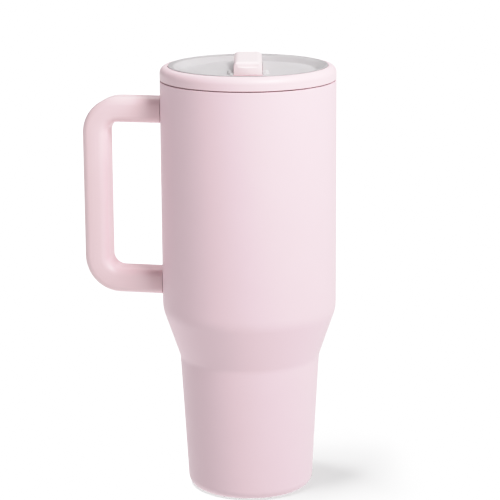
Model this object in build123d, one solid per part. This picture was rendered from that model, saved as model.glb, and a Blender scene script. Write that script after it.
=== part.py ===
from build123d import *
import os
from math import copysign, cos, hypot, radians, sin

# Insulated tumbler with a lift-off lid, a flip-up drinking spout and a C-shaped handle.
# Millimetres, +Z up. The origin is on the cup's axis in the plane that it stands on, and the
# handle points along -X. Lid parts are drawn with the spout's front along -Y, then turned.

# ---- Cup ----
BODY_R = 50.0
MOUTH_Z = 238.5
SHOULDER_Z = 106.2
SHOULDER_FILLET = 19.0
WAIST_R = 40.33
WAIST_Z = 78.0
WAIST_FILLET = 10.0
FOOT_R = 35.9
FOOT_FILLET = 5.5
STEEL = 0.6
LINER_INSET = 4.0
LINER_FLOOR_Z = 9.0
LINER_FLOOR_FILLET = 8.0
LIP_ROUND = 0.35

# ---- Base, under the foot ring ----
BASE_PLATE_R = 28.0
BASE_PLATE_Z = 2.0
DIMPLE_R = 6.4
DIMPLE_RISE = 2.0
PORT_R = 1.0
BEAD_R = 2.4
BEAD_ROUND = 0.3
BEAD_CROWN = 0.3
BEAD_CROWN_ROUND = 0.2
COVER_T = 0.7
COVER_GAP = 0.2
COVER_ROUND = 0.25
COVER_GROOVE_R = (20.7, 22.2)
COVER_GROOVE_DEPTH = 0.23
GETTER_R = 6.0
GETTER_T = 1.6
GETTER_RIM_W = 1.2
GETTER_RIM_ROOT_W = 1.6
GETTER_ROUNDS = (0.4, 0.3)

# ---- Handle ----
GRIP_X = -88.8
UPPER_ARM_Z = 220.0
LOWER_ARM_Z = 119.9
BEND_R = 13.9
HANDLE_HALF_DEPTH = 7.1
CREST_HALF_WIDTH = 9.9
CREST_HALF_DEPTH = 1.0
CROWN_HALF_WIDTH = 9.75
CROWN_HALF_DEPTH = 2.9
CROWN_ROUND = 6.0
FACE_HALF_WIDTH = 9.0
HANDLE_ROUND = 4.4
HANDLE_WALL = 2.2
HANDLE_GAP = 0.35
ARM_OVERLAP = 2.0

# ---- Handle fastening ----
SCREW_X = -68.5
TONGUE_END_X = -74.0
TONGUE_HALF_T = 2.5
TONGUE_HALF_W = 5.0
TONGUE_ROUND = 2.0
PAD_T = 1.3
PAD_HALF_H = 4.0
PAD_HALF_W = 6.0
CAP_R = 4.4
CAP_T = 1.2
CAP_GAP = 0.1
CAP_SINK = 0.05
CAP_BEVEL = 0.25
BOSS_WALL = 0.3
BOSS_OVERLAP = 0.2
SCREW_HEAD_R = 3.5
SCREW_HEAD_T = 1.9
SCREW_HEAD_ROUND = 0.7
SCREW_R = 2.0
SCREW_LENGTH = 6.2
SCREW_TIP_BEVEL = 0.4
SCREW_GAP = 0.2
THREAD_GAP = 0.05
SEAT_T = 1.4
SOCKET_ACROSS = 2.5
SOCKET_DEPTH = 1.1

# ---- Lid collar ----
LID_TURN = 11.5
SEAM = 0.6
COLLAR_TOP_Z = 246.6
COLLAR_SLOPE = 0.3
COLLAR_INNER_R = 45.4
COLLAR_ROUND = 3.8
COLLAR_EDGE_ROUND = 0.3
LEDGE_R = 43.0
LEDGE_Z = 242.4
SKIRT_R = 44.8
SKIRT_BOTTOM_Z = 225.5
SKIRT_ROUND = 0.5
SKIRT_BEAD_R = 45.4
SKIRT_BEAD_H = 3.0
SKIRT_BEAD_ROUNDS = (1.2, 0.2)
CORE_R = (46.6, 48.0)
CORE_TOP_Z = 243.6

# ---- Clear disc ----
FLOOR_Z = 243.5
FLOOR_T = 2.2
FLOOR_R = 38.6
RIM_R = 42.2
RIM_INNER_Z = 246.3
RIM_CREST_R = 44.7
RIM_CREST_Z = 247.0
DISC_R = 45.2
DISC_GAP = 0.2
RIM_EDGE_ROUND = 0.3
RIM_ROUND = 2.0
SEAL_T = 0.8
MOULD_WALL = 1.6

# ---- Spout and its pocket ----
HUB_Y = -11.0
HUB_Z = 242.3
HUB_R = 6.0
SPOUT_HALF_W = 8.0
SPOUT_TOP_Z = 250.6
SPOUT_TIP_Y = 29.0
NOZZLE_BOTTOM_Z = 241.5
SPOUT_TOP_ROUND = 3.0
SPOUT_TIP_ROUND = 2.8
SPOUT_EDGE_ROUND = 1.2
FRONT_BOW_R = 20.0
TOP_EDGE_ROUND = 1.6
LIP_Z = 247.6
LIP_DEPTH = 0.9
LIP_ROUNDS = (0.5, 0.4)
BORE_R = 2.4
BORE_DROP = 1.3
BORE_TILT = 7.0
PIN_R = 1.5
PIN_X = (5.4, 11.0)
PIN_GAP = 0.05
PIN_BEVEL = 0.3
SIDE_GAP = 0.45
POCKET_FRONT_Y = -21.1
POCKET_REAR_Y = -4.8
POCKET_FLOOR_Z = 234.0
CHANNEL_FLOOR_Z = 240.9
CHANNEL_REAR_Y = 36.4
COAMING_TOP_Z = 244.3
COAMING_ROUND = 1.8
EAR_R = 3.2
EAR_T = 3.2
EAR_BEVEL = 0.9

# ---- Drinking path and vent ----
SEAL_R = 4.8
SEAL_TOP_Z = 238.2
SEAL_GAP = 0.1
SPIGOT_R = 4.2
SPIGOT_BORE_R = 2.8
SPIGOT_BOTTOM_Z = 222.0
SLEEVE_R = 5.6
SLEEVE_Z = (211.0, 231.0)
SLEEVE_BEVEL = 0.5
STRAW_BORE_R = 3.3
STRAW_TOP_Z = 221.6
STRAW_BOTTOM_Z = 13.0
STRAW_NOTCH_R = 2.6
VENT_Y = 12.0
VENT_R = 2.0
VENT_FLANGE_R = 3.2
VENT_FLANGE_T = 0.3
VENT_LENGTH = 6.5
VENT_TIP_T = 1.0
VENT_WEDGE_H = 3.0
VENT_WEDGE_LEAN = 20.0
VENT_SLIT_T = 0.3
VENT_SLIT_W = 2.4

# ---- Gasket ----
GASKET_GAP = 0.1
GASKET_SLEEVE_T = 0.4
GASKET_EDGE_R = 48.6
FIN_R = 45.7
FIN_T = 0.8
FIN_TAPER = 0.2
FIN_ZS = (231.0, 234.0)
REST_GAP = 0.02

SEAM_TOP_Z = MOUTH_Z + SEAM
LINER_R = BODY_R - LINER_INSET
STRAW_Y = HUB_Y + BORE_DROP * cos(radians(BORE_TILT))
ARM_MIDDLE_Z = (UPPER_ARM_Z + LOWER_ARM_Z) / 2


def face_xz(*corners):
    """Closed face in the XZ plane from (x, z) or (x, z, rounding) corners."""
    points = [corner[:2] for corner in corners]
    rounds = [corner[2] if len(corner) > 2 else 0 for corner in corners]
    return make_face(Plane.XZ * FilletPolyline(*points, radius=rounds, close=True))


def turned(*corners):
    """Solid of revolution about Z from (radius, height) or (radius, height, rounding) corners."""
    return revolve(face_xz(*corners), axis=Axis.Z, revolution_arc=360)


def disc(radius, low, high, x=0, y=0):
    """Upright cylinder between two heights."""
    base = Location((x, y, low))
    return base * Cylinder(radius, high - low, align=(Align.CENTER, Align.CENTER, Align.MIN))


def block(x_range, y_range, z_range):
    """Box between two limits along each axis."""
    sizes = [high - low for low, high in (x_range, y_range, z_range)]
    corner = Location((x_range[0], y_range[0], z_range[0]))
    return corner * Box(*sizes, align=(Align.MIN, Align.MIN, Align.MIN))


def cross_rod(radius, x_range, y, z):
    """Cylinder along X between two limits."""
    start = Plane(origin=(x_range[0], y, z), z_dir=(1, 0, 0))
    return extrude(start * Circle(radius), amount=x_range[1] - x_range[0])


def export(shape, node):
    shape.label = node
    export_step(shape, os.path.join("parts", node + ".step"))


# ---------------------------------------------------------------- cup


def parallel(line, gap):
    """Move an open line of (radius, height, rounding) corners towards the axis, square to each run."""
    runs = []
    for (r0, z0, _), (r1, z1, _) in zip(line, line[1:]):
        length = hypot(r1 - r0, z1 - z0)
        shift_r, shift_z = (z1 - z0) / length * gap, (r0 - r1) / length * gap
        runs.append(((r0 + shift_r, z0 + shift_z), (r1 + shift_r, z1 + shift_z)))
    moved = [(*runs[0][0], 0)]
    for (start, end), (start_2, end_2), corner in zip(runs, runs[1:], line[1:]):
        dr, dz = end[0] - start[0], end[1] - start[1]
        dr_2, dz_2 = end_2[0] - start_2[0], end_2[1] - start_2[1]
        turn = dr * dz_2 - dz * dr_2
        along = ((start_2[0] - start[0]) * dz_2 - (start_2[1] - start[1]) * dr_2) / turn
        rounding = corner[2] + copysign(gap, turn)
        moved.append((start[0] + dr * along, start[1] + dz * along, rounding))
    moved.append((*runs[-1][1], 0))
    return moved


def cup_line(inset, floor_z, floor_rounding, floor_reach):
    """Corners of one surface of the cup's wall, from the mouth down and in to floor_reach."""
    low_z = floor_z - inset
    low_r = FOOT_R + (WAIST_R - FOOT_R) * low_z / WAIST_Z
    line = [
        (BODY_R, MOUTH_Z, 0),
        (BODY_R, SHOULDER_Z, SHOULDER_FILLET),
        (WAIST_R, WAIST_Z, WAIST_FILLET),
        (low_r, low_z, floor_rounding + inset),
        (floor_reach, low_z, 0),
    ]
    return parallel(line, inset) if inset else line


def outer_shell():
    outside = cup_line(0, 0, FOOT_FILLET, BASE_PLATE_R)
    inside = cup_line(STEEL, STEEL, FOOT_FILLET - STEEL, BASE_PLATE_R)
    outside[0] = (BODY_R, MOUTH_Z, LIP_ROUND)
    return turned(*outside, *reversed(inside))


def inner_liner():
    """Inner wall, with a flange at the mouth that is welded inside the outer shell."""
    vacuum_side = cup_line(
        LINER_INSET - STEEL, LINER_FLOOR_Z - STEEL, LINER_FLOOR_FILLET + STEEL, 0
    )
    drink_side = cup_line(LINER_INSET, LINER_FLOOR_Z, LINER_FLOOR_FILLET, 0)
    drink_side[0] = (LINER_R, MOUTH_Z, LIP_ROUND)
    flange_r = BODY_R - STEEL
    flange_z = MOUTH_Z - STEEL
    flange = [(flange_r, MOUTH_Z), (flange_r, flange_z), (vacuum_side[0][0], flange_z)]
    return turned(*flange, *vacuum_side[1:], *reversed(drink_side))


def base_plate():
    """Welded bottom with a raised dimple in the middle, where the evacuation hole is."""
    top_z = BASE_PLATE_Z + STEEL
    dimple_z = BASE_PLATE_Z + DIMPLE_RISE
    slope = DIMPLE_RISE / 2
    return turned(
        (BASE_PLATE_R, 0),
        (BASE_PLATE_R, top_z),
        (DIMPLE_R + STEEL, top_z),
        (DIMPLE_R + STEEL - slope, dimple_z + STEEL),
        (PORT_R, dimple_z + STEEL),
        (PORT_R, dimple_z),
        (DIMPLE_R - slope, dimple_z),
        (DIMPLE_R, BASE_PLATE_Z),
        (BASE_PLATE_R - STEEL, BASE_PLATE_Z),
        (BASE_PLATE_R - STEEL, 0),
    )


def vacuum_seal_bead():
    hole_z = BASE_PLATE_Z + DIMPLE_RISE
    crown_z = hole_z + STEEL + BEAD_CROWN
    return turned(
        (0, hole_z - STEEL),
        (BEAD_R, hole_z - STEEL, BEAD_ROUND),
        (BEAD_R, hole_z),
        (PORT_R, hole_z),
        (PORT_R, crown_z, BEAD_CROWN_ROUND),
        (0, crown_z),
    )


def base_cover():
    """Thin disc glued under the base plate, with a pressed ring for stiffness."""
    radius = BASE_PLATE_R - STEEL - COVER_GAP
    plate = turned(
        (0, BASE_PLATE_Z - COVER_T),
        (radius, BASE_PLATE_Z - COVER_T, COVER_ROUND),
        (radius, BASE_PLATE_Z),
        (0, BASE_PLATE_Z),
    )
    groove = disc(COVER_GROOVE_R[1], 0, BASE_PLATE_Z - COVER_T + COVER_GROOVE_DEPTH)
    return plate - (groove - disc(COVER_GROOVE_R[0], 0, BASE_PLATE_Z))


def getter():
    """Shallow pressed cup of gas absorber, fixed under the liner's floor."""
    top_z = LINER_FLOOR_Z - STEEL
    return turned(
        (0, top_z),
        (GETTER_R, top_z),
        (GETTER_R, top_z - GETTER_T, GETTER_ROUNDS[0]),
        (GETTER_R - GETTER_RIM_W, top_z - GETTER_T, GETTER_ROUNDS[1]),
        (GETTER_R - GETTER_RIM_ROOT_W, top_z - GETTER_T / 2),
        (0, top_z - GETTER_T / 2),
    )


# ---------------------------------------------------------------- handle


def on_lower_arm(upper):
    """The lower arm's copy of a piece of the upper arm."""
    return mirror(upper, about=Plane((0, 0, ARM_MIDDLE_Z)))


def handle_half(side):
    """One half shell of the C handle: side +1 is its outer half, -1 its inner half."""
    arm_end_x = ARM_OVERLAP - BODY_R
    path = FilletPolyline(
        (arm_end_x, 0, UPPER_ARM_Z),
        (GRIP_X, 0, UPPER_ARM_Z),
        (GRIP_X, 0, LOWER_ARM_Z),
        (arm_end_x, 0, LOWER_ARM_Z),
        radius=BEND_R,
    )
    outline = [
        (CREST_HALF_WIDTH, 0, 0),
        (CREST_HALF_WIDTH, CREST_HALF_DEPTH, CROWN_ROUND),
        (CROWN_HALF_WIDTH, CROWN_HALF_DEPTH, CROWN_ROUND),
        (FACE_HALF_WIDTH, HANDLE_HALF_DEPTH, HANDLE_ROUND),
    ]
    hollow = [
        (CREST_HALF_WIDTH - HANDLE_WALL, 0, 0),
        (FACE_HALF_WIDTH - HANDLE_WALL, HANDLE_HALF_DEPTH - HANDLE_WALL, HANDLE_ROUND - HANDLE_WALL),
    ]
    corners = outline + mirrored(outline) + list(reversed(mirrored(hollow))) + list(reversed(hollow))
    points = [(width, side * depth) for width, depth, _ in corners]
    rounds = [rounding for _, _, rounding in corners]
    start = Plane(origin=path @ 0, x_dir=(0, -1, 0), z_dir=(-1, 0, 0))
    section = make_face(start * FilletPolyline(*points, radius=rounds, close=True))
    shell = sweep(section, path=path)
    return shell - disc(BODY_R + HANDLE_GAP, 0, MOUTH_Z)


def mirrored(corners):
    """The same corners on the other side of the centre line, in the order that closes the outline."""
    return [(-width, depth, rounding) for width, depth, rounding in reversed(corners)]


def screw_boss_and_holes():
    """What the screw adds to and takes from the upper arm's outer half."""
    arm_top_z = UPPER_ARM_Z + HANDLE_HALF_DEPTH
    tongue_top_z = UPPER_ARM_Z + TONGUE_HALF_T
    boss = disc(CAP_R + BOSS_WALL, tongue_top_z, arm_top_z - HANDLE_WALL + BOSS_OVERLAP, SCREW_X)
    recess = disc(CAP_R + CAP_GAP, arm_top_z - CAP_T, arm_top_z + CAP_T, SCREW_X)
    pocket = disc(SCREW_HEAD_R + SCREW_GAP, tongue_top_z + SEAT_T, arm_top_z, SCREW_X)
    clearance = disc(SCREW_R + SCREW_GAP, tongue_top_z - SEAT_T, arm_top_z, SCREW_X)
    return boss, recess + pocket + clearance


def handle_outer_shell():
    boss, holes = screw_boss_and_holes()
    shell = handle_half(+1)
    for place in (lambda piece: piece, on_lower_arm):
        shell = shell + place(boss) - place(holes)
    return shell


def handle_inner_shell():
    return handle_half(-1)


def upper_bracket():
    """Curved pad welded to the outer shell, with a tongue that is tapped for the screw."""
    pad_box = block(
        (-BODY_R - PAD_T, 0),
        (-PAD_HALF_W, PAD_HALF_W),
        (UPPER_ARM_Z - PAD_HALF_H, UPPER_ARM_Z + PAD_HALF_H),
    )
    ring = disc(BODY_R + PAD_T, 0, MOUTH_Z) - disc(BODY_R, 0, MOUTH_Z)
    tongue = block(
        (TONGUE_END_X, -BODY_R - PAD_T / 2),
        (-TONGUE_HALF_W, TONGUE_HALF_W),
        (UPPER_ARM_Z - TONGUE_HALF_T, UPPER_ARM_Z + TONGUE_HALF_T),
    )
    end_edges = tongue.edges().filter_by(Axis.Z).group_by(Axis.X)[0]
    tongue = fillet(end_edges, TONGUE_ROUND)
    hole = disc(SCREW_R + THREAD_GAP, UPPER_ARM_Z - TONGUE_HALF_W, UPPER_ARM_Z + TONGUE_HALF_W, SCREW_X)
    return (pad_box & ring) + tongue - hole


def upper_screw():
    """Pan-head machine screw with a hexagon socket."""
    head_z = UPPER_ARM_Z + TONGUE_HALF_T + SEAT_T
    head = disc(SCREW_HEAD_R, head_z, head_z + SCREW_HEAD_T, SCREW_X)
    head = fillet(head.edges().group_by(Axis.Z)[-1], SCREW_HEAD_ROUND)
    shank = disc(SCREW_R, head_z - SCREW_LENGTH, head_z, SCREW_X)
    shank = chamfer(shank.edges().group_by(Axis.Z)[0], SCREW_TIP_BEVEL)
    socket_plane = Plane((SCREW_X, 0, head_z + SCREW_HEAD_T))
    socket = extrude(
        socket_plane * RegularPolygon(SOCKET_ACROSS / 2, 6, major_radius=False),
        amount=-SOCKET_DEPTH,
    )
    return head + shank - socket


def upper_cap():
    """Flush plug over the screw's head, with a slightly crowned top."""
    arm_top_z = UPPER_ARM_Z + HANDLE_HALF_DEPTH
    cap = disc(CAP_R, arm_top_z - CAP_T, arm_top_z - CAP_SINK, SCREW_X)
    return chamfer(cap.edges().group_by(Axis.Z)[-1], CAP_BEVEL)


def pair(upper):
    """The upper arm's piece and its lower copy, as two separate solids."""
    return Compound([upper, on_lower_arm(upper)])


# ---------------------------------------------------------------- lid


def lid_collar():
    """Painted ring with a cored underside, a ledge for the disc, and a skirt into the mouth."""
    ring = turned(
        (BODY_R, SEAM_TOP_Z, COLLAR_EDGE_ROUND),
        (BODY_R, COLLAR_TOP_Z - COLLAR_SLOPE, COLLAR_ROUND),
        (COLLAR_INNER_R, COLLAR_TOP_Z, COLLAR_EDGE_ROUND),
        (COLLAR_INNER_R, LEDGE_Z),
        (LEDGE_R, LEDGE_Z),
        (LEDGE_R, SKIRT_BOTTOM_Z, SKIRT_ROUND),
        (SKIRT_BEAD_R, SKIRT_BOTTOM_Z, SKIRT_BEAD_ROUNDS[0]),
        (SKIRT_BEAD_R, SKIRT_BOTTOM_Z + SKIRT_BEAD_H, SKIRT_BEAD_ROUNDS[1]),
        (SKIRT_R, SKIRT_BOTTOM_Z + SKIRT_BEAD_H),
        (SKIRT_R, SEAM_TOP_Z),
    )
    core = disc(CORE_R[1], 0, CORE_TOP_Z) - disc(CORE_R[0], 0, CORE_TOP_Z)
    return ring - core


def lid_gasket():
    """Silicone ring around the skirt: a top flange in the seam and two wiping fins."""
    inner_r = SKIRT_R + GASKET_GAP
    sleeve_r = inner_r + GASKET_SLEEVE_T
    bottom_z = SKIRT_BOTTOM_Z + SKIRT_BEAD_H + GASKET_GAP
    corners = [(inner_r, bottom_z), (sleeve_r, bottom_z)]
    for fin_z in FIN_ZS:
        fin_top_z = fin_z + FIN_T
        corners += [(sleeve_r, fin_z), (FIN_R, fin_z + FIN_TAPER)]
        corners += [(FIN_R, fin_top_z - FIN_TAPER), (sleeve_r, fin_top_z)]
    corners += [
        (sleeve_r, MOUTH_Z + REST_GAP),
        (GASKET_EDGE_R, MOUTH_Z + REST_GAP),
        (GASKET_EDGE_R, SEAM_TOP_Z - REST_GAP),
        (inner_r, SEAM_TOP_Z - REST_GAP),
    ]
    return turned(*corners)


def disc_seal():
    return turned(
        (LEDGE_R + DISC_GAP, LEDGE_Z),
        (DISC_R, LEDGE_Z),
        (DISC_R, LEDGE_Z + SEAL_T),
        (LEDGE_R + DISC_GAP, LEDGE_Z + SEAL_T),
    )


def lid_disc():
    """Clear moulding: rim, recessed floor, pocket for the spout's hub, channel and straw spigot."""
    half_w = SPOUT_HALF_W + SIDE_GAP
    wall_w = half_w + MOULD_WALL
    underside_z = FLOOR_Z - FLOOR_T
    plate = turned(
        (0, underside_z),
        (LEDGE_R - DISC_GAP, underside_z),
        (LEDGE_R - DISC_GAP, LEDGE_Z + SEAL_T),
        (DISC_R, LEDGE_Z + SEAL_T),
        (DISC_R, RIM_CREST_Z, RIM_EDGE_ROUND),
        (RIM_CREST_R, RIM_CREST_Z, RIM_EDGE_ROUND),
        (RIM_R, RIM_INNER_Z, RIM_ROUND),
        (FLOOR_R, FLOOR_Z, RIM_ROUND),
        (0, FLOOR_Z),
    )
    pocket_walls = block(
        (-wall_w, wall_w),
        (POCKET_FRONT_Y - MOULD_WALL, POCKET_REAR_Y + MOULD_WALL),
        (POCKET_FLOOR_Z - MOULD_WALL, underside_z),
    )
    channel_walls = block(
        (-wall_w, wall_w),
        (POCKET_REAR_Y, CHANNEL_REAR_Y + MOULD_WALL),
        (CHANNEL_FLOOR_Z - MOULD_WALL, underside_z),
    )
    coaming = block(
        (-wall_w, wall_w),
        (POCKET_FRONT_Y - MOULD_WALL, POCKET_REAR_Y),
        (underside_z, COAMING_TOP_Z),
    )
    coaming = fillet(coaming.edges().filter_by(Axis.Z).group_by(Axis.Y)[0], COAMING_ROUND)
    moulding = plate + pocket_walls + channel_walls + coaming
    for side in (-1, 1):
        ear = cross_rod(EAR_R, (half_w, half_w + EAR_T), HUB_Y, HUB_Z)
        ear = chamfer(ear.edges().group_by(Axis.X)[-1], EAR_BEVEL)
        moulding += ear if side > 0 else mirror(ear, about=Plane.YZ)
    moulding += disc(SPIGOT_R, SPIGOT_BOTTOM_Z, POCKET_FLOOR_Z - MOULD_WALL, 0, STRAW_Y)
    inside_x = (-half_w, half_w)
    pocket = block(inside_x, (POCKET_FRONT_Y, POCKET_REAR_Y), (POCKET_FLOOR_Z, SPOUT_TOP_Z))
    channel = block(inside_x, (HUB_Y, CHANNEL_REAR_Y), (CHANNEL_FLOOR_Z, SPOUT_TOP_Z))
    straw_port = disc(SPIGOT_BORE_R, SPIGOT_BOTTOM_Z, POCKET_FLOOR_Z, 0, STRAW_Y)
    vent_hole = disc(VENT_R, CHANNEL_FLOOR_Z - 2 * MOULD_WALL, CHANNEL_FLOOR_Z, 0, VENT_Y)
    pin_hole = cross_rod(PIN_R + PIN_GAP, (-half_w - EAR_T, half_w + EAR_T), HUB_Y, HUB_Z)
    return moulding - pocket - channel - straw_port - vent_hole - pin_hole


def spout_seal():
    """Silicone seat around the straw port, hollowed to the hub and flat in front of it."""
    seat = disc(SEAL_R, POCKET_FLOOR_Z, SEAL_TOP_Z, 0, STRAW_Y)
    seat -= disc(BORE_R, POCKET_FLOOR_Z, SEAL_TOP_Z, 0, STRAW_Y)
    reach = HUB_R + SEAL_GAP
    seat -= cross_rod(reach, (-SEAL_R, SEAL_R), HUB_Y, HUB_Z)
    return seat - block((-SEAL_R, SEAL_R), (HUB_Y - SEAL_R, HUB_Y), (HUB_Z - reach, SEAL_TOP_Z))


def straw_sleeve():
    tube = disc(SLEEVE_R, *SLEEVE_Z, 0, STRAW_Y) - disc(SPIGOT_R, *SLEEVE_Z, 0, STRAW_Y)
    return chamfer(tube.edges().group_by(Axis.Z)[0].sort_by(SortBy.LENGTH)[-1], SLEEVE_BEVEL)


def straw():
    """Straight straw with a notch across its lower end, so that it can't seal on the floor."""
    tube = disc(SPIGOT_R, STRAW_BOTTOM_Z, STRAW_TOP_Z, 0, STRAW_Y)
    tube -= disc(STRAW_BORE_R, STRAW_BOTTOM_Z, STRAW_TOP_Z, 0, STRAW_Y)
    return tube - cross_rod(STRAW_NOTCH_R, (-SPIGOT_R, SPIGOT_R), STRAW_Y, STRAW_BOTTOM_Z)


def vent_valve():
    """Duckbill: a flange on the channel's floor, a round neck and a wedge with a slit."""
    tip_z = CHANNEL_FLOOR_Z - VENT_LENGTH
    flange_top_z = CHANNEL_FLOOR_Z + VENT_FLANGE_T
    flange = disc(VENT_FLANGE_R, CHANNEL_FLOOR_Z, flange_top_z, 0, VENT_Y)
    neck = disc(VENT_R, tip_z, CHANNEL_FLOOR_Z, 0, VENT_Y)
    side = block((VENT_TIP_T / 2, 2 * VENT_R), (-2 * VENT_R, 2 * VENT_R), (-VENT_LENGTH, VENT_WEDGE_H))
    side = Location((0, VENT_Y, tip_z)) * Rot(Y=VENT_WEDGE_LEAN) * side
    bill = neck - side - mirror(side, about=Plane.YZ)
    slit = block(
        (-VENT_SLIT_T / 2, VENT_SLIT_T / 2),
        (VENT_Y - VENT_SLIT_W / 2, VENT_Y + VENT_SLIT_W / 2),
        (tip_z, flange_top_z),
    )
    return flange + bill - slit


def spout():
    """Flip-up mouthpiece: a round hub with a bowed thumb lip, and a nozzle that lies back over the lid."""
    front_y = HUB_Y - HUB_R
    ledge_y = front_y + LIP_DEPTH
    side_view = Plane.YZ * FilletPolyline(
        (front_y, HUB_Z),
        (front_y, LIP_Z),
        (ledge_y, LIP_Z),
        (ledge_y, SPOUT_TOP_Z),
        (SPOUT_TIP_Y, SPOUT_TOP_Z),
        (SPOUT_TIP_Y, NOZZLE_BOTTOM_Z),
        (HUB_Y, NOZZLE_BOTTOM_Z),
        (HUB_Y, HUB_Z),
        radius=[0, *LIP_ROUNDS, TOP_EDGE_ROUND, SPOUT_TIP_ROUND, SPOUT_TIP_ROUND, 0, 0],
        close=True,
    )
    nozzle = extrude(make_face(side_view), amount=SPOUT_HALF_W, both=True)
    hub = cross_rod(HUB_R, (-SPOUT_HALF_W, SPOUT_HALF_W), HUB_Y, HUB_Z)
    end_view = face_xz(
        (-SPOUT_HALF_W, HUB_Z - HUB_R, SPOUT_EDGE_ROUND),
        (SPOUT_HALF_W, HUB_Z - HUB_R, SPOUT_EDGE_ROUND),
        (SPOUT_HALF_W, SPOUT_TOP_Z, SPOUT_TOP_ROUND),
        (-SPOUT_HALF_W, SPOUT_TOP_Z, SPOUT_TOP_ROUND),
    )
    envelope = extrude(end_view, amount=2 * SPOUT_TIP_Y, both=True)
    bow_y = front_y + FRONT_BOW_R
    bow = disc(FRONT_BOW_R, HUB_Z - HUB_R, SPOUT_TOP_Z, 0, bow_y)
    rear = block((-SPOUT_HALF_W, SPOUT_HALF_W), (bow_y, SPOUT_TIP_Y), (HUB_Z - HUB_R, SPOUT_TOP_Z))
    body = (nozzle + hub) & envelope & (bow + rear)
    bore_line = Plane(
        origin=(0, HUB_Y, HUB_Z - BORE_DROP),
        z_dir=(0, cos(radians(BORE_TILT)), sin(radians(BORE_TILT))),
    )
    body -= extrude(bore_line * Circle(BORE_R), amount=2 * SPOUT_TIP_Y, both=True)
    return body - cross_rod(PIN_R, (PIN_X[0], SPOUT_HALF_W), HUB_Y, HUB_Z) - cross_rod(
        PIN_R, (-SPOUT_HALF_W, -PIN_X[0]), HUB_Y, HUB_Z
    )


def spout_pins():
    pin = cross_rod(PIN_R, PIN_X, HUB_Y, HUB_Z)
    pin = chamfer(pin.edges().group_by(Axis.X)[-1], PIN_BEVEL)
    return Compound([pin, mirror(pin, about=Plane.YZ)])


# ---------------------------------------------------------------- export

CUP_NODES = {
    "outer_shell": outer_shell,
    "inner_liner": inner_liner,
    "base_plate": base_plate,
    "vacuum_seal_bead": vacuum_seal_bead,
    "base_cover": base_cover,
    "getter": getter,
    "handle_outer_shell": handle_outer_shell,
    "handle_inner_shell": handle_inner_shell,
    "upper_bracket": upper_bracket,
    "lower_bracket": lambda: on_lower_arm(upper_bracket()),
    "handle_screws": lambda: pair(upper_screw()),
    "screw_caps": lambda: pair(upper_cap()),
}

LID_NODES = {
    "lid_gasket": lid_gasket,
    "lid_collar": lid_collar,
    "disc_seal": disc_seal,
    "lid_disc": lid_disc,
    "spout_seal": spout_seal,
    "straw_sleeve": straw_sleeve,
    "straw": straw,
    "vent_valve": vent_valve,
    "spout": spout,
    "spout_pins": spout_pins,
}

os.makedirs("parts", exist_ok=True)
for name, make in CUP_NODES.items():
    export(make(), name)
for name, make in LID_NODES.items():
    export(Rot(Z=LID_TURN) * make(), name)
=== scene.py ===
import math

import bpy
from mathutils import Matrix, Vector

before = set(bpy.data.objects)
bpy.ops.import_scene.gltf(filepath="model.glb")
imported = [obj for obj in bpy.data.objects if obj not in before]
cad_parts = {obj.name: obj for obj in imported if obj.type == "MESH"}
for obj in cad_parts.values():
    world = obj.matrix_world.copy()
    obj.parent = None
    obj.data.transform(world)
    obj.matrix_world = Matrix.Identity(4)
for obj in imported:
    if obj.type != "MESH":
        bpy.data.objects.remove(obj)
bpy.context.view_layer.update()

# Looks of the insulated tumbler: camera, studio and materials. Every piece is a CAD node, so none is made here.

MM = 0.001

# ---- Camera: where it stands, in a frame whose -Y is the camera's side of the tumbler ----
VIEW_TURN = math.radians(11.5)
CAMERA_SIDE = -0.0001
CAMERA_DISTANCE = 1.1385
CAMERA_HEIGHT = 0.4110
CAMERA_PITCH = math.radians(12.684)
CAMERA_ROLL = math.radians(-0.37)
CAMERA_SHIFT = (0.0024, -0.0522)
LENS_MM = 146.49
SENSOR_MM = 36.0
CAMERA_REACH = 200

# ---- Studio: softboxes as azimuth, elevation (degrees, 0 is the camera's side, positive to its right),
# distance and sizes (m) and power (W) ----
SOFTBOXES = {
    "key": (35, 45, 1.1, (0.4, 0.4), 14.6),
    "fill": (-50, 20, 2.0, (1.0, 1.0), 2.5),
    "rim": (120, 20, 2.0, (1.0, 1.0), 2.0),
    "back": (180, 40, 2.0, (1.4, 1.0), 7.0),
    "top": (0, 88, 2.0, (1.2, 1.2), 7.0),
}
SOFTBOX_TARGET = Vector((0, 0, 0.15))

# ---- World: strength by how high a direction points (-1 straight down, 1 straight up) ----
BOUNCE_STRENGTH = 1.0
BOUNCE_BY_HEIGHT = ((-1.0, 1.0), (-0.5, 1.0), (-0.2, 0.75), (0.0, 0.5), (0.12, 0.0))
BACKDROP_STRENGTH = 0.6
BACKDROP_BY_HEIGHT = ((0.0, 0.8), (0.3, 0.9), (0.5, 1.0), (0.72, 0.6), (0.9, 0.3))
BACKDROP_EDGE = 0.25

# ---- Floor: one sun without a shadow makes it white, and the others cast its short soft shadow ----
FLOOR_SIZE = 30.0
FLOOR_ALBEDO = 0.2
FLOOR_WASH_STRENGTH = 11.3
FLOOR_WASH_TILT = (0, 0)
SHADOW_SUN_TILTS = ((0.24, -0.14), (0.24, 0.07), (0.24, 0.28))
SHADOW_SUN_ANGLE = math.radians(12)
SHADOW_SUN_STRENGTH = 20.0
NO_FLOOR_SHADOW = ("handle_outer_shell", "handle_inner_shell", "screw_caps", "upper_bracket", "lower_bracket")

# ---- Film: a soft shoulder that keeps the bright pink from burning out, as (scene light, shown light) ----
COMBINED_CURVE = 3
FILM_WHITE = 1.8
FILM_SHOULDER = ((0.35, 0.35), (0.5, 0.492), (0.692, 0.651), (0.86, 0.775), (1.21, 0.922), (1.7, 1.0))

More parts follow.
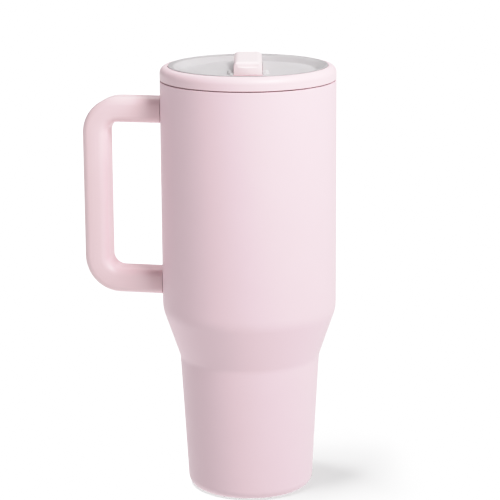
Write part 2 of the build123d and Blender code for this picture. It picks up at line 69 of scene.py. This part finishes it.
# ---- Colours: display values from 0 to 255, and reflectances from 0 to 1 for metal and the straw ----
POWDER_PINK = (239, 206, 216)
HANDLE_PINK = (245, 211, 217)
COLLAR_PINK = (240, 208, 216)
SPOUT_PINK = (254, 231, 235)
DISC_GREY = (206, 202, 204)
# Painted shade: the disc's ring is painted darker where the seal and the shaded ledge beneath show through
DISC_RING_SHADE_GREY = (172, 166, 169)
# Painted view of the spout's hub through the disc, darkened as painted shade below the lid's floor
PAINTED_HUB_PINK = (214, 176, 184)
# Rose silicone, darkened in part as painted shade of the narrow seam where the gasket sits
GASKET_ROSE_SEAM_SHADE = (140, 80, 80)
SEAL_GREY = (192, 186, 188)
GLASS_GREY = (88, 96, 86)
STRAW_CLEAR = (0.88, 0.88, 0.89, 1)
LINER_METAL = (0.8, 0.79, 0.78, 1)
BASE_METAL = (0.68, 0.67, 0.66, 1)
BRACKET_METAL = (0.6, 0.6, 0.6, 1)
SCREW_METAL = (0.5, 0.5, 0.5, 1)

# ---- Grain: noise scales per metre, and the stretch that draws steel along one direction ----
POWDER_GRAIN = 2200
HANDLE_GRAIN = 1500
LID_GRAIN = 1800
STEEL_GRAIN = 900
RUBBER_GRAIN = 900
GLASS_GRAIN = 400
HAZE_GRAIN = 90
PAINT_CLOUDS = 60
PLASTIC_CLOUDS = 45
POWDER_DEPTH = 0.06 * MM
HANDLE_DEPTH = 0.05 * MM
LID_DEPTH = 0.03 * MM
STEEL_DEPTH = 0.02 * MM
CLOUD_EDGES = (0.3, 0.7)
PAINT_CLOUD_SPREAD = 0.006
PLASTIC_CLOUD_SPREAD = 0.008
RUBBER_SPREAD = 0.03
DRAWN_UP = (1, 1, 0.04)
DRAWN_ALONG_X = (0.05, 1, 1)
NOT_DRAWN = (1, 1, 1)

# ---- Finish: roughness from lowest to highest, and how clear or soft a plastic or rubber is ----
POWDER_ROUGHNESS = (0.44, 0.56)
DISC_ROUGHNESS = (0.28, 0.38)
STRAW_ROUGHNESS = (0.1, 0.2)
GLASS_ROUGHNESS = (0.15, 0.35)
SATIN = 0.42
SPOUT_SATIN = 0.34
RUBBER_MATT = 0.55
PLASTIC_IOR = 1.5
DISC_CLEARNESS = 0.12
DISC_SOFTNESS = 0.7
STRAW_CLEARNESS = 0.8
RUBBER_SOFTNESS = 0.1
RUBBER_SCATTER_DEPTH = 2 * MM

# ---- Lid disc: painted shade in the ring over its seal, and a painted view of the spout's hub in front ----
DISC_RING_RADIUS = 42.3 * MM
DISC_RING_BLUR = 0.5 * MM
DISC_SCATTER_DEPTH = 5 * MM
HUB_SHOW_HALF_WIDTH = 8.2 * MM
HUB_SHOW_DISTANCE = 22.3 * MM
HUB_SHOW_DEPTH = 1.6 * MM

# Places of a colour mix node's sockets, whose names its number sockets share
MIX_COLOUR_A, MIX_COLOUR_B, MIX_COLOUR_RESULT = 6, 7, 2


def srgb(red, green, blue):
    """Linear colour with alpha from 0-255 display values."""
    linear = []
    for value in (red, green, blue):
        value /= 255
        linear.append(value / 12.92 if value <= 0.04045 else ((value + 0.055) / 1.055) ** 2.4)
    return (*linear, 1.0)


# ---------------------------------------------------------------- camera and studio


def towards_view(side, back, up):
    """A point given to the camera's right, away from the camera and up, in the row frame."""
    return Matrix.Rotation(VIEW_TURN, 4, "Z") @ Vector((side, back, up))


def add_camera():
    """Camera that is rolled, tilted down and then turned with the view."""
    data = bpy.data.cameras.new("camera")
    data.lens = LENS_MM
    data.sensor_width = SENSOR_MM
    data.shift_x, data.shift_y = CAMERA_SHIFT
    data.clip_end = CAMERA_REACH
    camera = bpy.data.objects.new("camera", data)
    bpy.context.scene.collection.objects.link(camera)
    turn = Matrix.Rotation(VIEW_TURN, 4, "Z")
    tilt = Matrix.Rotation(math.radians(90) - CAMERA_PITCH, 4, "X")
    roll = Matrix.Rotation(CAMERA_ROLL, 4, "Z")
    place = Matrix.Translation(towards_view(CAMERA_SIDE, -CAMERA_DISTANCE, CAMERA_HEIGHT))
    camera.matrix_world = place @ turn @ tilt @ roll
    bpy.context.scene.camera = camera


def aim(obj, target):
    obj.rotation_euler = (target - obj.location).to_track_quat("-Z", "Y").to_euler()


def add_softbox(name, azimuth, elevation, distance, size, power):
    """Rectangular area light that faces the middle of the tumbler."""
    azimuth, elevation = math.radians(azimuth), math.radians(elevation)
    data = bpy.data.lights.new(name, "AREA")
    data.shape = "RECTANGLE"
    data.size, data.size_y = size
    data.energy = power
    light = bpy.data.objects.new(name, data)
    bpy.context.scene.collection.objects.link(light)
    flat = math.cos(elevation)
    light.location = towards_view(
        distance * flat * math.sin(azimuth), -distance * flat * math.cos(azimuth), distance * math.sin(elevation)
    ) + SOFTBOX_TARGET
    aim(light, SOFTBOX_TARGET)
    return light


def link_group(name, objects, state):
    """Collection that ties a light to these objects alone (INCLUDE) or to all the others (EXCLUDE)."""
    group = bpy.data.collections.new(name)
    for obj in objects:
        group.objects.link(obj)
    for member in group.collection_objects:
        member.light_linking.link_state = state
    return group


def add_floor_sun(name, tilt, strength, group):
    """A sun for the objects of group alone. Its tilt is how far it stands to the camera's left and towards the
    camera, for a height of 1."""
    data = bpy.data.lights.new(name, "SUN")
    data.energy = strength
    data.angle = SHADOW_SUN_ANGLE
    sun = bpy.data.objects.new(name, data)
    bpy.context.scene.collection.objects.link(sun)
    side, back = tilt
    sun.location = towards_view(-side, -back, 1)
    aim(sun, Vector((0, 0, 0)))
    sun.light_linking.receiver_collection = group
    return sun


def add_floor():
    """White paper that the camera sees and the tumbler doesn't: its light comes from the world instead."""
    mesh = bpy.data.meshes.new("floor")
    half = FLOOR_SIZE / 2
    mesh.from_pydata([(-half, -half, 0), (half, -half, 0), (half, half, 0), (-half, half, 0)], [], [(0, 1, 2, 3)])
    floor = bpy.data.objects.new("floor", mesh)
    bpy.context.scene.collection.objects.link(floor)
    paper = bpy.data.materials.new("floor_paper")
    paper.use_nodes = True
    shader = paper.node_tree.nodes["Principled BSDF"]
    shader.inputs["Base Color"].default_value = (FLOOR_ALBEDO, FLOOR_ALBEDO, FLOOR_ALBEDO, 1)
    shader.inputs["Roughness"].default_value = 1.0
    shader.inputs["Specular IOR Level"].default_value = 0.0
    mesh.materials.append(paper)
    floor.visible_diffuse = False
    floor.visible_glossy = False
    floor.visible_shadow = False
    return floor


def add_studio():
    """Softboxes for the tumbler, and suns for the floor, whose shadow leaves the handle out."""
    floor = add_floor()
    all_but_floor = link_group("all_but_floor", [floor], "EXCLUDE")
    for name, softbox in SOFTBOXES.items():
        add_softbox(name, *softbox).light_linking.receiver_collection = all_but_floor
    only_floor = link_group("only_floor", [floor], "INCLUDE")
    handle = [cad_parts[node] for node in NO_FLOOR_SHADOW]
    not_the_handle = link_group("not_the_handle", handle, "EXCLUDE")
    share = SHADOW_SUN_STRENGTH / len(SHADOW_SUN_TILTS)
    for number, tilt in enumerate(SHADOW_SUN_TILTS):
        shadow_sun = add_floor_sun(f"floor_shadow_{number}", tilt, share, only_floor)
        shadow_sun.light_linking.blocker_collection = not_the_handle
    wash = add_floor_sun("floor_wash", FLOOR_WASH_TILT, FLOOR_WASH_STRENGTH, only_floor)
    wash.data.use_shadow = False


def set_film():
    """Standard view, with the shoulder as a curve over scene light."""
    view = bpy.context.scene.view_settings
    view.view_transform = "Standard"
    view.use_curve_mapping = True
    mapping = view.curve_mapping
    mapping.white_level = (FILM_WHITE, FILM_WHITE, FILM_WHITE)
    curve = mapping.curves[COMBINED_CURVE]
    for light, shown in FILM_SHOULDER:
        curve.points.new(light / FILM_WHITE, shown)
    for point in curve.points:
        point.handle_type = "AUTO_CLAMPED"
    mapping.update()


def height_ramp(nodes, links, height, stops):
    """Grey by how high a direction points, from stops of height (-1 to 1) and value."""
    ramp = nodes.new("ShaderNodeValToRGB")
    elements = ramp.color_ramp.elements
    while len(elements) < len(stops):
        elements.new(0.5)
    for element, (level, value) in zip(elements, stops):
        element.position = (level + 1) / 2
        element.color = (value, value, value, 1)
    links.new(height, ramp.inputs["Fac"])
    return ramp.outputs["Color"]


def math_node(nodes, links, operation, *values):
    """Result of a maths node, whose values are numbers or sockets."""
    node = nodes.new("ShaderNodeMath")
    node.operation = operation
    for socket, value in zip(node.inputs, values):
        if isinstance(value, float):
            socket.default_value = value
        else:
            links.new(value, socket)
    return node.outputs["Value"]


def add_world():
    """Light that comes back up from a white floor, and a pale backdrop behind the tumbler."""
    world = bpy.data.worlds.new("studio")
    world.use_nodes = True
    bpy.context.scene.world = world
    nodes, links = world.node_tree.nodes, world.node_tree.links
    place = nodes.new("ShaderNodeTexCoord").outputs["Generated"]
    split = nodes.new("ShaderNodeSeparateXYZ")
    links.new(place, split.inputs["Vector"])
    height = math_node(nodes, links, "MULTIPLY_ADD", split.outputs["Z"], 0.5, 0.5)
    behind = nodes.new("ShaderNodeVectorMath")
    behind.operation = "DOT_PRODUCT"
    behind.inputs[1].default_value = towards_view(0, 1, 0)
    links.new(place, behind.inputs[0])
    side = nodes.new("ShaderNodeMapRange")
    side.inputs["From Min"].default_value = -BACKDROP_EDGE
    side.inputs["From Max"].default_value = BACKDROP_EDGE
    links.new(behind.outputs["Value"], side.inputs["Value"])
    bounce = height_ramp(nodes, links, height, BOUNCE_BY_HEIGHT)
    backdrop = height_ramp(nodes, links, height, BACKDROP_BY_HEIGHT)
    bounce = math_node(nodes, links, "MULTIPLY", bounce, BOUNCE_STRENGTH)
    backdrop = math_node(nodes, links, "MULTIPLY", backdrop, BACKDROP_STRENGTH)
    backdrop = math_node(nodes, links, "MULTIPLY", backdrop, side.outputs["Result"])
    total = math_node(nodes, links, "ADD", bounce, backdrop)
    links.new(total, nodes["Background"].inputs["Strength"])
    nodes["Background"].inputs["Color"].default_value = (1, 1, 1, 1)


# ---------------------------------------------------------------- materials


def new_material(name, colour, roughness, **sockets):
    """Principled material; sockets are given by name with underscores for spaces."""
    material = bpy.data.materials.new(name)
    material.use_nodes = True
    shader = material.node_tree.nodes["Principled BSDF"]
    shader.inputs["Base Color"].default_value = colour
    shader.inputs["Roughness"].default_value = roughness
    for socket, value in sockets.items():
        shader.inputs[socket.replace("_", " ")].default_value = value
    return material


def noise_node(material, scale, detail=2.0, stretch=(1, 1, 1)):
    """Noise in object space, in metres, so that its grain has a real size."""
    nodes, links = material.node_tree.nodes, material.node_tree.links
    place = nodes.new("ShaderNodeTexCoord")
    stretcher = nodes.new("ShaderNodeMapping")
    stretcher.inputs["Scale"].default_value = stretch
    noise = nodes.new("ShaderNodeTexNoise")
    noise.inputs["Scale"].default_value = scale
    noise.inputs["Detail"].default_value = detail
    links.new(place.outputs["Object"], stretcher.inputs["Vector"])
    links.new(stretcher.outputs["Vector"], noise.inputs["Vector"])
    return noise


def vary_colour(material, noise, colour, spread):
    """Let the noise lighten and darken the base colour by spread."""
    nodes, links = material.node_tree.nodes, material.node_tree.links
    ramp = nodes.new("ShaderNodeValToRGB")
    for element, place, factor in zip(ramp.color_ramp.elements, CLOUD_EDGES, (1 - spread, 1 + spread)):
        element.position = place
        element.color = (*(min(1, channel * factor) for channel in colour[:3]), 1)
    links.new(noise.outputs["Fac"], ramp.inputs["Fac"])
    links.new(ramp.outputs["Color"], nodes["Principled BSDF"].inputs["Base Color"])


def vary_roughness(material, noise, low, high):
    nodes, links = material.node_tree.nodes, material.node_tree.links
    spread = nodes.new("ShaderNodeMapRange")
    spread.inputs["To Min"].default_value = low
    spread.inputs["To Max"].default_value = high
    links.new(noise.outputs["Fac"], spread.inputs["Value"])
    links.new(spread.outputs["Result"], nodes["Principled BSDF"].inputs["Roughness"])


def add_bump(material, noise, depth, strength=1.0):
    nodes, links = material.node_tree.nodes, material.node_tree.links
    bump = nodes.new("ShaderNodeBump")
    bump.inputs["Distance"].default_value = depth
    bump.inputs["Strength"].default_value = strength
    links.new(noise.outputs["Fac"], bump.inputs["Height"])
    links.new(bump.outputs["Normal"], nodes["Principled BSDF"].inputs["Normal"])


def powder_coat():
    """Matt paint with a very fine orange peel."""
    colour = srgb(*POWDER_PINK)
    coat = new_material("powder_coat", colour, 0.5)
    fine = noise_node(coat, POWDER_GRAIN, 3)
    vary_colour(coat, noise_node(coat, PAINT_CLOUDS), colour, PAINT_CLOUD_SPREAD)
    vary_roughness(coat, fine, *POWDER_ROUGHNESS)
    add_bump(coat, fine, POWDER_DEPTH, 0.5)
    return coat


def moulded_pink(name, display_colour, roughness, grain, depth):
    """Satin moulded plastic with a slight grain."""
    colour = srgb(*display_colour)
    plastic = new_material(name, colour, roughness)
    fine = noise_node(plastic, grain)
    vary_colour(plastic, noise_node(plastic, PLASTIC_CLOUDS), colour, PLASTIC_CLOUD_SPREAD)
    vary_roughness(plastic, fine, roughness - 0.05, roughness + 0.05)
    add_bump(plastic, fine, depth, 0.5)
    return plastic


def ring_painted_shade(nodes, links, place):
    """Grey of the disc, with painted shade from the ring's radius outwards, where the seal and the shaded ledge
    beneath show through.
    """
    flatten = nodes.new("ShaderNodeVectorMath")
    flatten.operation = "MULTIPLY"
    flatten.inputs[1].default_value = (1, 1, 0)
    radius = nodes.new("ShaderNodeVectorMath")
    radius.operation = "LENGTH"
    links.new(place, flatten.inputs[0])
    links.new(flatten.outputs["Vector"], radius.inputs[0])
    spread = nodes.new("ShaderNodeMapRange")
    spread.inputs["From Min"].default_value = DISC_RING_RADIUS - DISC_RING_BLUR
    spread.inputs["From Max"].default_value = DISC_RING_RADIUS + DISC_RING_BLUR
    links.new(radius.outputs["Value"], spread.inputs["Value"])
    ramp = nodes.new("ShaderNodeValToRGB")
    ramp.color_ramp.elements[0].color = srgb(*DISC_GREY)
    ramp.color_ramp.elements[1].color = srgb(*DISC_RING_SHADE_GREY)
    links.new(spread.outputs["Result"], ramp.inputs["Fac"])
    return ramp.outputs["Color"]


def painted_hub_window(nodes, links, place):
    """1 in a small rectangle before the spout, where the pink hub, in shade below the lid's floor, is painted on
    the disc as if seen through it, and 0 elsewhere.
    """
    turn = nodes.new("ShaderNodeVectorRotate")
    turn.rotation_type = "Z_AXIS"
    turn.inputs["Angle"].default_value = -VIEW_TURN
    links.new(place, turn.inputs["Vector"])
    split = nodes.new("ShaderNodeSeparateXYZ")
    links.new(turn.outputs["Vector"], split.inputs["Vector"])
    across = math_node(nodes, links, "ABSOLUTE", split.outputs["X"])
    across = math_node(nodes, links, "LESS_THAN", across, HUB_SHOW_HALF_WIDTH)
    ahead = math_node(nodes, links, "ADD", split.outputs["Y"], HUB_SHOW_DISTANCE)
    ahead = math_node(nodes, links, "ABSOLUTE", ahead)
    ahead = math_node(nodes, links, "LESS_THAN", ahead, HUB_SHOW_DEPTH)
    return math_node(nodes, links, "MULTIPLY", across, ahead)


def clear_plastic():
    """Frosted grey-clear plastic, with painted shade in the ring over its seal and a painted view of the shaded
    pink hub before the spout.
    """
    plastic = new_material(
        "clear_plastic",
        srgb(*DISC_GREY),
        0.3,
        IOR=PLASTIC_IOR,
        Transmission_Weight=DISC_CLEARNESS,
        Subsurface_Weight=DISC_SOFTNESS,
        Subsurface_Radius=(1.0, 1.0, 1.0),
        Subsurface_Scale=DISC_SCATTER_DEPTH,
    )
    nodes, links = plastic.node_tree.nodes, plastic.node_tree.links
    place = nodes.new("ShaderNodeTexCoord").outputs["Object"]
    tone = nodes.new("ShaderNodeMix")
    tone.data_type = "RGBA"
    # Painted view of the shaded hub, laid over the ring's tone
    tone.inputs[MIX_COLOUR_B].default_value = srgb(*PAINTED_HUB_PINK)
    links.new(painted_hub_window(nodes, links, place), tone.inputs["Factor"])
    # The ring's painted shade lies under the painted view of the hub
    links.new(ring_painted_shade(nodes, links, place), tone.inputs[MIX_COLOUR_A])
    links.new(tone.outputs[MIX_COLOUR_RESULT], nodes["Principled BSDF"].inputs["Base Color"])
    vary_roughness(plastic, noise_node(plastic, HAZE_GRAIN), *DISC_ROUGHNESS)
    return plastic


def straw_plastic():
    """Clear plastic with a slight haze."""
    plastic = new_material(
        "straw_plastic", STRAW_CLEAR, 0.15, Transmission_Weight=STRAW_CLEARNESS, IOR=PLASTIC_IOR
    )
    vary_roughness(plastic, noise_node(plastic, HAZE_GRAIN), *STRAW_ROUGHNESS)
    return plastic


def silicone(name, display_colour):
    """Soft matt rubber."""
    colour = srgb(*display_colour)
    rubber = new_material(
        name, colour, RUBBER_MATT, Subsurface_Weight=RUBBER_SOFTNESS, Subsurface_Scale=RUBBER_SCATTER_DEPTH
    )
    vary_colour(rubber, noise_node(rubber, RUBBER_GRAIN), colour, RUBBER_SPREAD)
    return rubber


def steel(name, colour, roughness, stretch):
    """Stainless steel with a drawn grain along one direction."""
    metal = new_material(name, colour, roughness, Metallic=1.0)
    grain = noise_node(metal, STEEL_GRAIN, 3, stretch)
    vary_roughness(metal, grain, roughness - 0.08, roughness + 0.1)
    add_bump(metal, grain, STEEL_DEPTH, 0.4)
    return metal


def sealing_glass():
    """Grey-green glass solder."""
    glass = new_material("sealing_glass", srgb(*GLASS_GREY), 0.25)
    vary_roughness(glass, noise_node(glass, GLASS_GRAIN), *GLASS_ROUGHNESS)
    return glass


def give(material, *nodes):
    """Put one material on CAD nodes."""
    for node in nodes:
        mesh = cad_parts[node].data
        mesh.materials.clear()
        mesh.materials.append(material)


def dress_cup():
    """Materials of the cup, its base and its handle."""
    handle_plastic = moulded_pink("handle_plastic", HANDLE_PINK, SATIN, HANDLE_GRAIN, HANDLE_DEPTH)
    give(powder_coat(), "outer_shell")
    give(steel("liner_steel", LINER_METAL, 0.42, DRAWN_UP), "inner_liner")
    give(steel("base_steel", BASE_METAL, 0.32, DRAWN_ALONG_X), "base_plate", "base_cover")
    give(steel("bracket_steel", BRACKET_METAL, 0.4, DRAWN_ALONG_X), "upper_bracket", "lower_bracket")
    give(steel("screw_steel", SCREW_METAL, 0.25, NOT_DRAWN), "handle_screws", "spout_pins", "getter")
    give(sealing_glass(), "vacuum_seal_bead")
    give(handle_plastic, "handle_outer_shell", "handle_inner_shell", "screw_caps")


def dress_lid():
    """Materials of the lid, its spout, seals and straw."""
    give(moulded_pink("collar_plastic", COLLAR_PINK, SATIN, LID_GRAIN, LID_DEPTH), "lid_collar")
    give(moulded_pink("spout_plastic", SPOUT_PINK, SPOUT_SATIN, LID_GRAIN, LID_DEPTH), "spout")
    give(clear_plastic(), "lid_disc")
    give(straw_plastic(), "straw")
    # The gasket's rose is darkened in part as painted seam shade
    give(silicone("rose_silicone_seam_shade", GASKET_ROSE_SEAM_SHADE), "lid_gasket")
    give(silicone("grey_silicone", SEAL_GREY), "disc_seal", "spout_seal", "straw_sleeve", "vent_valve")


# ---------------------------------------------------------------- making the scene

add_camera()
add_world()
add_studio()
set_film()
dress_cup()
dress_lid()
